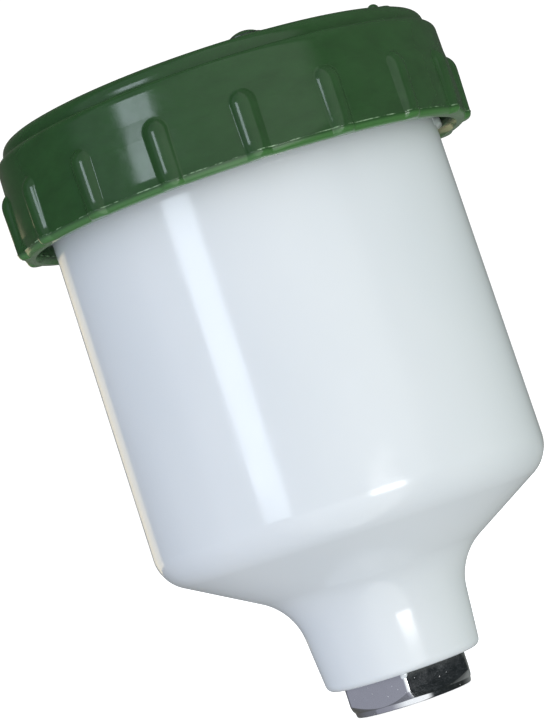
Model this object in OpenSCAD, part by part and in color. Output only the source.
// Gravity feed paint cup with a screw lid. Millimetres, +Z up.
// The origin is the centre of the outlet fitting's end face.

/* [Cup] */
// Outside radius of the cup where the shoulder starts
cup_r = 45; // [40:0.5:55]
// Outside radius of the cup under the lid
mouth_r = 44.5; // [39.5:0.5:54.5]
// Wall thickness of the cup
cup_wall = 2.4; // [1.6:0.1:3.2]
// Height of the straight wall, from the shoulder to the lid's lower edge
wall_h = 71.1; // [50:0.1:120]
// Height of the mouth above the lid's lower edge
neck_h = 19.8; // [17.5:0.1:26]
// Radius of the rounded shoulder
shoulder_round = 9; // [4:0.5:14]
// Angle of the funnel from the cup's axis
funnel_angle = 60; // [50:1:66]
// Radius of the hollow between the funnel and the collar
collar_fillet = 13.5; // [6:0.5:16]
// Outside radius of the collar at its lower end
collar_r = 17.7; // [16.8:0.1:20]
// Draft of the collar in degrees
collar_draft = 4.3; // [0:0.1:6]
// Radius of the collar's lower edge
collar_edge = 1.8; // [0.5:0.1:2.5]
// Rounding of the mouth's rim
rim_round = 0.8; // [0.3:0.1:1.1]

/* [Screw thread] */
// Rise of the thread in one turn
thread_lead = 6; // [5:0.5:7]
// Radial height of the thread on the cup
thread_depth = 2.7; // [2:0.1:3]
// Width of a thread ridge at its foot
thread_root_w = 2.8; // [2:0.1:3]
// Width of a thread ridge at its crest
thread_crest_w = 1.2; // [0.8:0.1:1.4]
// Turns of thread on the cup
cup_turns = 2.25; // [1:0.25:2.5]
// Turns of thread in the lid
lid_turns = 1.5; // [1:0.25:1.5]
// Height of the cup's lower thread end above the lid's lower edge
thread_start = 1.5; // [1.5:0.1:4]
// Direction of the cup's lower thread end
thread_azimuth = -12; // [-180:1:180]
// Gap between the loaded thread flanks
flank_gap = 0.3; // [0.2:0.05:0.5]

/* [Lid] */
// Play between the cup's thread crest and the inside of the skirt
thread_play = 1; // [0.6:0.1:2]
// Draft of the skirt in degrees
skirt_draft = 1.3; // [0:0.1:2]
// Wall thickness of the skirt above the lead-in
skirt_wall = 3.4; // [2.4:0.1:3.6]
// Width of the flat between the raised disc and the skirt's upper rounding
groove_w = 0.1; // [0.1:0.1:2]
// Height of the raised disc above the skirt's shoulder
disc_h = 3.5; // [1:0.1:4]
// Rounding of the raised disc's upper edge
disc_edge = 2.6; // [0.3:0.1:3]
// Thickness of the lid over the seal
top_plate = 4.5; // [4.3:0.1:6]
// Thickness of the lid's top inside the keeper ring
panel_t = 3; // [2:0.1:4]
// Rounding where the skirt meets the top
skirt_round = 2; // [0.5:0.1:2.2]
// Rounding of the skirt's lower lip
lip_round = 1.5; // [0.5:0.1:1.8]
// Height of the mould parting line, a fine bead round the lip
parting_bead = 0.12; // [0.05:0.01:0.3]
// Width of the lead-in at the skirt's mouth
lead_in = 0.85; // [0.3:0.05:1.2]
// Number of grip ribs
rib_count = 17; // [8:1:24]
// Width of a rib
rib_w = 5.2; // [3:0.1:7]
// Rise of a rib's rounded back above its long edges
rib_crown = 1.2; // [0.3:0.1:1.5]
// Height that a rib stands out of the skirt's lower edge
rib_proud = 1.2; // [0.5:0.1:2]
// Length of a rib
rib_h = 14.7; // [8:0.1:17.5]
// Turn of the ribs about the axis
rib_turn = 5; // [-11:0.5:11]

/* [Lid seal] */
// Thickness of the flat seal ring in the lid
seal_h = 1.5; // [1:0.1:3]
// Reach of the seal ring past the inside of the cup's wall
seal_reach = 0.8; // [0.3:0.1:2]
// Height of the ring that keeps the seal central
keeper_h = 2.4; // [1:0.1:4]
// Wall of the keeper ring
keeper_wall = 1.2; // [0.8:0.1:2]
// Gap between the seal and what it touches
seal_gap = 0.1; // [0.05:0.05:0.3]

/* [Vent shutter] */
// Distance of the pivot to the right of the lid's centre
pivot_x = 9.4; // [-20:0.1:20]
// Distance of the pivot back from the front edge of the raised disc
pivot_back = 15; // [12:0.5:30]
// Distance from the pivot to the finger knob
shutter_l = 31.8; // [20:0.1:36]
// Direction of the shutter at rest
shutter_azimuth = 26; // [15:1:60]
// Radius of the shutter round its pivot
shutter_r = 5.2; // [4.5:0.1:7]
// Radius of the shutter's free end
shutter_tip_r = 3.6; // [3:0.1:5]
// Thickness of the shutter
shutter_t = 1.2; // [0.8:0.1:2]
// Radius of the vent hole
vent_r = 1.5; // [1:0.1:2.5]
// Distance of the vent hole from the pivot
vent_reach = 16; // [9:0.5:20]
// Radius of the pivot rivet's shank
rivet_r = 1.6; // [1.2:0.1:2]
// Radius of the rivet's domed head
rivet_head_r = 3.4; // [2.8:0.1:4]
// Height of the rivet's domed head
rivet_head_h = 1.1; // [0.8:0.1:2.2]
// Radius of the rivet's closing head
rivet_foot_r = 2.4; // [2.2:0.1:3.5]
// Thickness of the rivet's closing head
rivet_foot_h = 0.8; // [0.5:0.1:1.2]
// Outside radius of the friction washer
washer_r = 3.9; // [3.5:0.1:4.4]
// Thickness of the friction washer
washer_t = 0.4; // [0.3:0.05:0.8]
// Radius of the finger knob
knob_r = 1.4; // [1.2:0.1:2.8]
// Height of the finger knob above the shutter
knob_h = 1; // [0.8:0.1:4]

/* [Outlet fitting] */
// Size of the hexagon across its flats
hex_af = 27; // [26:0.5:30]
// Height of the hexagon below the collar
hex_h = 7; // [5:0.5:10]
// Turn of the hexagon from a corner at the front
hex_turn = -3; // [-30:1:30]
// Radius of the flat end face of the hexagon
hex_face_r = 13; // [11:0.1:13]
// Height of the turned band at the end of the hexagon
hex_band = 1.2; // [0.5:0.1:2]
// Height of the turned chamfer at the hexagon's corners
hex_chamfer = 3.2; // [2.2:0.1:4]
// Radius of the shank that is moulded into the collar
shank_r = 12.5; // [11:0.1:13]
// Length of the shank inside the collar
shank_l = 16; // [13:0.5:18]
// Depth of the two grooves in the shank
shank_groove = 1; // [0.5:0.1:1.5]
// Radius of the female thread, at the nominal size of a G 3/8 pipe thread
outlet_r = 8.33; // [7:0.01:9]
// Length of the female thread with its lead-in
outlet_l = 12; // [9:0.5:12]
// Depth of the lead-in chamfer of the female thread
outlet_lead = 0.9; // [0.3:0.1:1.5]
// Depth of the undercut that holds the outlet washer
undercut = 0.6; // [0.3:0.05:1]
// Thickness of the outlet washer
outlet_washer_t = 1.5; // [1:0.1:2]
// Radius of the passage above the female thread
passage_r = 7; // [6:0.1:7.5]
// Radius of the funnel's lower opening
throat_r = 9.5; // [8.6:0.1:10.5]

/* [Strainer] */
// Length of the plug that sits in the passage
plug_l = 7; // [4:0.5:9]
// Wall of the plug
plug_wall = 1; // [0.7:0.1:1.4]
// Radius of the flange that rests on the fitting
flange_r = 8.8; // [8:0.1:9.2]
// Thickness of the flange
flange_t = 1.4; // [1:0.1:2]
// Height of the cage above the flange
cage_h = 26; // [15:0.5:35]
// Number of upright bars in the cage
cage_bars = 4; // [3:1:8]
// Width of one upright bar
bar_w = 1.6; // [1:0.1:2.5]
// Thickness of the cage's top cap and middle hoop
cap_t = 1.5; // [1:0.1:2.5]
// Thickness of the strainer mesh
mesh_t = 0.3; // [0.2:0.05:0.6]
// Sliding clearance between the strainer and the fitting
strainer_fit = 0.08; // [0.05:0.01:0.1]

/* [Hidden] */
$fn = 96;

// Degrees per step where a rounded outline is drawn as a polygon
arc_step = 4;
// Degrees per step where a small edge is rounded
edge_step = 15;
// Degrees per step where an edge that shows is rounded
fine_edge_step = 9;
// Degrees per step along a thread ridge
thread_step = 7.5;
// Length of the run-out at each end of a thread ridge, in degrees
run_out = 24;
// Depth that joined solids share
lap = 0.8;
// Clearance between parts that turn or lie on each other
rest_gap = 0.05;
// Radial clearance between the rivet and the shutter
pivot_fit = 0.06;

// Collar and funnel
shank_top = hex_h + shank_l;
funnel_tan = tan(funnel_angle);
draft_tan = tan(collar_draft);
collar_at_funnel = collar_r + collar_fillet * draft_tan;
shoulder_drop = shoulder_round * sin(funnel_angle);
shoulder_end_r = cup_r - shoulder_round * (1 - cos(funnel_angle));
inner_round = shoulder_round - cup_wall;
inner_end_r = cup_r - shoulder_round + inner_round * cos(funnel_angle);
throat_lip = 0.8;
shoulder_z = shank_top + throat_lip + (inner_end_r - throat_r) / funnel_tan + inner_round * sin(funnel_angle);
shoulder_end_z = shoulder_z - shoulder_drop;
corner_z = (collar_r - hex_h * draft_tan - shoulder_end_r + shoulder_end_z * funnel_tan) / (funnel_tan - draft_tan);
corner_r = collar_r + (corner_z - hex_h) * draft_tan;
fillet_run = collar_fillet * tan((funnel_angle - collar_draft) / 2);
fillet_r = corner_r - fillet_run * sin(collar_draft) + collar_fillet * cos(collar_draft);
fillet_z = corner_z - fillet_run * cos(collar_draft) - collar_fillet * sin(collar_draft);

// Mouth and lid
lid_z = shoulder_z + wall_h;
rim_z = lid_z + neck_h;
ceiling_z = rim_z + seal_h + 2 * seal_gap;
lid_top = ceiling_z + top_plate;
panel_z = lid_top - panel_t;
step_z = lid_top - disc_h;
crest_r = mouth_r + thread_depth;
cap_r = crest_r + thread_play;
skirt_r = cap_r + skirt_wall;
skirt_top_r = skirt_r - (step_z - lid_z) * tan(skirt_draft);
disc_r = skirt_top_r - skirt_round - groove_w;
disc_round = min(disc_edge, 0.9 * disc_h);
rib_r = skirt_r + rib_proud;
rib_back_r = cap_r + lead_in + lap / 2;
rib_round = (rib_w * rib_w / 4 + rib_crown * rib_crown) / (2 * rib_crown);
seal_inner_r = mouth_r - cup_wall - seal_reach;
keeper_r = seal_inner_r - seal_gap;
panel_r = keeper_r - keeper_wall;

// Thread
lid_crest_r = cap_r - thread_depth;
flank_slope = (thread_root_w - thread_crest_w) / thread_depth;
track_gap = thread_crest_w + flank_slope * (crest_r - lid_crest_r) / 2 + flank_gap;
cup_thread_z = lid_z + thread_start;
lid_thread_wait = (track_gap + thread_root_w / 2 + lead_in - thread_start + 1) / thread_lead * 360;
lid_thread_z = cup_thread_z + thread_lead * lid_thread_wait / 360 - track_gap;

// Vent
pivot_front = disc_r - pivot_back;
knob_dome = 30;
shutter_z = lid_top + rest_gap;
washer_z = shutter_z + shutter_t + rest_gap;
rivet_head_z = washer_z + washer_t + rest_gap;

// Outlet and strainer
hex_corner_r = hex_af / sqrt(3);
hex_bevel = 0.15;
band_r = hex_af / 2 - hex_bevel;
chamfer_slope = (hex_chamfer - hex_band) / (hex_corner_r - band_r);
undercut_r = outlet_r + undercut;
undercut_h = outlet_washer_t + 2 * rest_gap;
plug_r = passage_r - strainer_fit;
cage_z = shank_top + rest_gap + flange_t;
cage_top = cage_z + cage_h;
mesh_r = plug_r - plug_wall;

// Points of an arc about (r, z), from angle a to angle b
function arc(r, z, radius, a, b, step = arc_step) =
    let (n = max(2, ceil(abs(b - a) / step)))
    [for (i = [0:n]) [r + radius * cos(a + (b - a) * i / n), z + radius * sin(a + (b - a) * i / n)]];

// Share of the full ridge height at an angle along the ridge
function ridge_share(angle, total) = max(0.08, min(1, angle / run_out, (total - angle) / run_out));

// Helical ridge of the given turns that stands from foot_r to crest_at; its foot reaches back_r inside the wall
module ridge(back_r, foot_r, crest_at, turns) {
    total = turns * 360;
    n = round(total / thread_step);
    rings = [for (i = [0:n])
        let (a = total * i / n, z = thread_lead * a / 360, s = ridge_share(a, total))
        let (top_r = foot_r + (crest_at - foot_r) * s)
        let (half_root = thread_root_w / 2, half_top = half_root - (thread_root_w - thread_crest_w) / 2 * s)
        each [
            [back_r * cos(a), back_r * sin(a), z - half_root],
            [foot_r * cos(a), foot_r * sin(a), z - half_root],
            [top_r * cos(a), top_r * sin(a), z - half_top],
            [top_r * cos(a), top_r * sin(a), z + half_top],
            [foot_r * cos(a), foot_r * sin(a), z + half_root],
            [back_r * cos(a), back_r * sin(a), z + half_root]
        ]
    ];
    sides = [for (i = [0:n - 1], k = [0:5])
        let (p = 6 * i + k, q = 6 * i + (k + 1) % 6)
        each [[p, q, q + 6], [p, q + 6, p + 6]]
    ];
    start = [for (k = [1:4]) [0, k + 1, k]];
    end = [for (k = [1:4]) [6 * n, 6 * n + k, 6 * n + k + 1]];
    faces = concat(sides, start, end);
    polyhedron(points = rings, faces = crest_at > back_r ? faces : [for (f = faces) [f[0], f[2], f[1]]], convexity = 6);
}

// Outline of the shank that the collar is moulded round
module shank() {
    band = shank_l / 8;
    rotate_extrude()
        polygon([
            [0, hex_h - lap], [shank_r, hex_h - lap],
            [shank_r, hex_h + 2 * band], [shank_r - shank_groove, hex_h + 2 * band],
            [shank_r - shank_groove, hex_h + 3 * band], [shank_r, hex_h + 3 * band],
            [shank_r, hex_h + 5 * band], [shank_r - shank_groove, hex_h + 5 * band],
            [shank_r - shank_groove, hex_h + 6 * band], [shank_r, hex_h + 6 * band],
            [shank_r, shank_top], [0, shank_top]
        ]);
}

module cup_shell() {
    rotate_extrude()
        polygon(concat(
            [[throat_r, hex_h]],
            arc(collar_r - collar_edge, hex_h + collar_edge, collar_edge, -90, -collar_draft, fine_edge_step),
            arc(fillet_r, fillet_z, collar_fillet, 180 - collar_draft, 180 - funnel_angle),
            arc(cup_r - shoulder_round, shoulder_z, shoulder_round, -funnel_angle, 0),
            [[mouth_r, lid_z]],
            arc(mouth_r - rim_round, rim_z - rim_round, rim_round, 0, 90, edge_step),
            arc(mouth_r - cup_wall + rim_round, rim_z - rim_round, rim_round, 90, 180, edge_step),
            arc(cup_r - shoulder_round, shoulder_z, inner_round, 0, -funnel_angle),
            [[throat_r, shank_top + throat_lip]]
        ));
}

module cup_body() {
    color([0.93, 0.94, 0.93])
    union() {
        difference() {
            cup_shell();
            shank();
        }
        translate([0, 0, cup_thread_z])
            rotate([0, 0, thread_azimuth])
                ridge(mouth_r - lap, mouth_r - lap / 8, crest_r, cup_turns);
    }
}

// Hexagon with the turned chamfer on its end
module hexagon() {
    intersection() {
        rotate([0, 0, hex_turn - 90])
            cylinder(r = hex_corner_r, h = hex_h, $fn = 6);
        rotate_extrude()
            polygon([
                [0, 0], [hex_face_r, 0], [hex_face_r + hex_bevel, hex_bevel], [band_r, hex_band],
                [hex_corner_r + lap, hex_chamfer + lap * chamfer_slope], [hex_corner_r + lap, hex_h + lap],
                [0, hex_h + lap]
            ]);
    }
}

module outlet_fitting() {
    color([0.72, 0.73, 0.75])
    difference() {
        union() {
            hexagon();
            shank();
        }
        rotate_extrude()
            polygon([
                [0, -lap], [outlet_r + outlet_lead + lap, -lap], [outlet_r, outlet_lead],
                [outlet_r, outlet_l], [undercut_r, outlet_l],
                [undercut_r, outlet_l + undercut_h], [passage_r, outlet_l + undercut_h],
                [passage_r, shank_top + lap], [0, shank_top + lap]
            ]);
    }
}

module ring(r_out, r_in, h) {
    difference() {
        cylinder(r = r_out, h = h);
        translate([0, 0, -lap])
            cylinder(r = r_in, h = h + 2 * lap);
    }
}

module outlet_washer() {
    color([0.85, 0.83, 0.76])
    translate([0, 0, outlet_l + rest_gap])
        ring(undercut_r - rest_gap, passage_r, outlet_washer_t);
}

module strainer_frame() {
    color([0.95, 0.95, 0.92])
    union() {
        translate([0, 0, shank_top - plug_l])
            ring(plug_r, mesh_r, plug_l + rest_gap + flange_t);
        translate([0, 0, shank_top + rest_gap])
            ring(flange_r, mesh_r, flange_t);
        translate([0, 0, cage_z + (cage_h - cap_t) / 2])
            ring(plug_r, mesh_r, cap_t);
        translate([0, 0, cage_top - cap_t])
            cylinder(r = plug_r, h = cap_t);
        intersection() {
            translate([0, 0, cage_z - lap])
                ring(plug_r, mesh_r, cage_h + lap);
            for (i = [0:cage_bars - 1])
                rotate([0, 0, i * 360 / cage_bars])
                    translate([0, -bar_w / 2, cage_z - lap])
                        cube([plug_r + lap, bar_w, cage_h + lap]);
        }
    }
}

module strainer_mesh() {
    color([0.8, 0.8, 0.78])
    translate([0, 0, cage_z])
        ring(mesh_r, mesh_r - mesh_t, cage_h - cap_t);
}

module lid_shell() {
    rotate_extrude()
        polygon(concat(
            [[0, panel_z], [0, lid_top]],
            arc(disc_r - disc_round, lid_top - disc_round, disc_round, 90, 0, fine_edge_step),
            [[disc_r, step_z]],
            arc(skirt_top_r - skirt_round, step_z - skirt_round, skirt_round, 90, 0, fine_edge_step),
            [
                [skirt_r, lid_z + lip_round + 2 * parting_bead],
                [skirt_r + parting_bead, lid_z + lip_round + parting_bead],
                [skirt_r + parting_bead, lid_z + lip_round]
            ],
            arc(skirt_r - lip_round, lid_z + lip_round, lip_round, 0, -90, fine_edge_step),
            [
                [cap_r + lead_in, lid_z], [cap_r, lid_z + 2 * lead_in], [cap_r, ceiling_z],
                [keeper_r, ceiling_z], [keeper_r, ceiling_z - keeper_h],
                [panel_r, ceiling_z - keeper_h], [panel_r, panel_z]
            ]
        ));
}

// One grip rib along +X: a bar with a rounded back and a half round upper end
module rib_bar() {
    bar_h = rib_h - rib_w / 2;
    half = concat(
        [[rib_back_r, 0], [rib_back_r, rib_w / 2]],
        arc(rib_r - rib_round, 0, rib_round, asin(rib_w / 2 / rib_round), 0, fine_edge_step)
    );
    translate([0, 0, lid_z])
        linear_extrude(bar_h)
            polygon(concat(half, [for (i = [len(half) - 2:-1:1]) [half[i][0], -half[i][1]]]));
    translate([0, 0, lid_z + bar_h])
        rotate([0, 90, 0])
            rotate([0, 0, 90])
                rotate_extrude(angle = 180)
                    polygon([for (p = half) [p[1], p[0]]]);
}

module ribs() {
    intersection() {
        for (i = [0:rib_count - 1])
            rotate([0, 0, rib_turn - 90 + i * 360 / rib_count])
                rib_bar();
        rotate_extrude()
            polygon(concat(
                [[rib_back_r - lap, lid_z + parting_bead]],
                arc(rib_r - lip_round, lid_z + lip_round, lip_round, -70, 0, edge_step),
                [[rib_r + lap, lid_z + rib_h + lap], [rib_back_r - lap, lid_z + rib_h + lap]]
            ));
    }
}

// A point on the shutter's centre line
module at_shutter(reach) {
    translate([pivot_x, -pivot_front, 0])
        rotate([0, 0, shutter_azimuth])
            translate([reach, 0, 0])
                children();
}

module lid_cap() {
    color([0.13, 0.3, 0.12])
    difference() {
        union() {
            lid_shell();
            ribs();
            translate([0, 0, lid_thread_z])
                rotate([0, 0, thread_azimuth + lid_thread_wait])
                    ridge(cap_r + lap, cap_r + lap / 8, lid_crest_r, lid_turns);
        }
        at_shutter(0)
            translate([0, 0, panel_z - lap])
                cylinder(r = rivet_r, h = panel_t + 2 * lap, $fn = 48);
        at_shutter(vent_reach)
            translate([0, 0, panel_z - lap])
                cylinder(r = vent_r, h = panel_t + 2 * lap, $fn = 48);
    }
}

module lid_seal() {
    color([0.9, 0.88, 0.8])
    translate([0, 0, rim_z + seal_gap])
        ring(cap_r - 2 * seal_gap, seal_inner_r, seal_h);
}

module vent_shutter() {
    lean = asin((shutter_r - shutter_tip_r) / shutter_l);
    color([0.16, 0.34, 0.15])
    at_shutter(0)
        translate([0, 0, shutter_z])
            difference() {
                union() {
                    linear_extrude(shutter_t)
                        polygon(concat(
                            arc(0, 0, shutter_r, 90 - lean, 270 + lean),
                            arc(shutter_l, 0, shutter_tip_r, lean - 90, 90 - lean)
                        ));
                    translate([shutter_l, 0, shutter_t / 2])
                        rotate_extrude($fn = 48)
                            polygon(concat(
                                [[0, 0], [knob_r, 0]],
                                arc(0, shutter_t / 2 + knob_h - knob_r * sin(knob_dome), knob_r, 0, knob_dome),
                                [[0, shutter_t / 2 + knob_h]]
                            ));
                }
                translate([0, 0, -lap])
                    cylinder(r = rivet_r + pivot_fit, h = shutter_t + 2 * lap, $fn = 48);
            }
}

module vent_rivet() {
    dome_r = (rivet_head_r * rivet_head_r + rivet_head_h * rivet_head_h) / (2 * rivet_head_h);
    dome_angle = asin((dome_r - rivet_head_h) / dome_r);
    color([0.14, 0.31, 0.13])
    at_shutter(0)
        rotate_extrude($fn = 64)
            polygon(concat(
                [
                    [0, panel_z - rivet_foot_h], [rivet_foot_r, panel_z - rivet_foot_h],
                    [rivet_foot_r, panel_z], [rivet_r, panel_z], [rivet_r, rivet_head_z]
                ],
                arc(0, rivet_head_z + rivet_head_h - dome_r, dome_r, dome_angle, 90)
            ));
}

module vent_washer() {
    color([0.6, 0.61, 0.62])
    at_shutter(0)
        translate([0, 0, washer_z])
            ring(washer_r, rivet_r + pivot_fit, washer_t);
}

cup_body();
outlet_fitting();
outlet_washer();
strainer_frame();
strainer_mesh();
lid_cap();
lid_seal();
vent_shutter();
vent_rivet();
vent_washer();
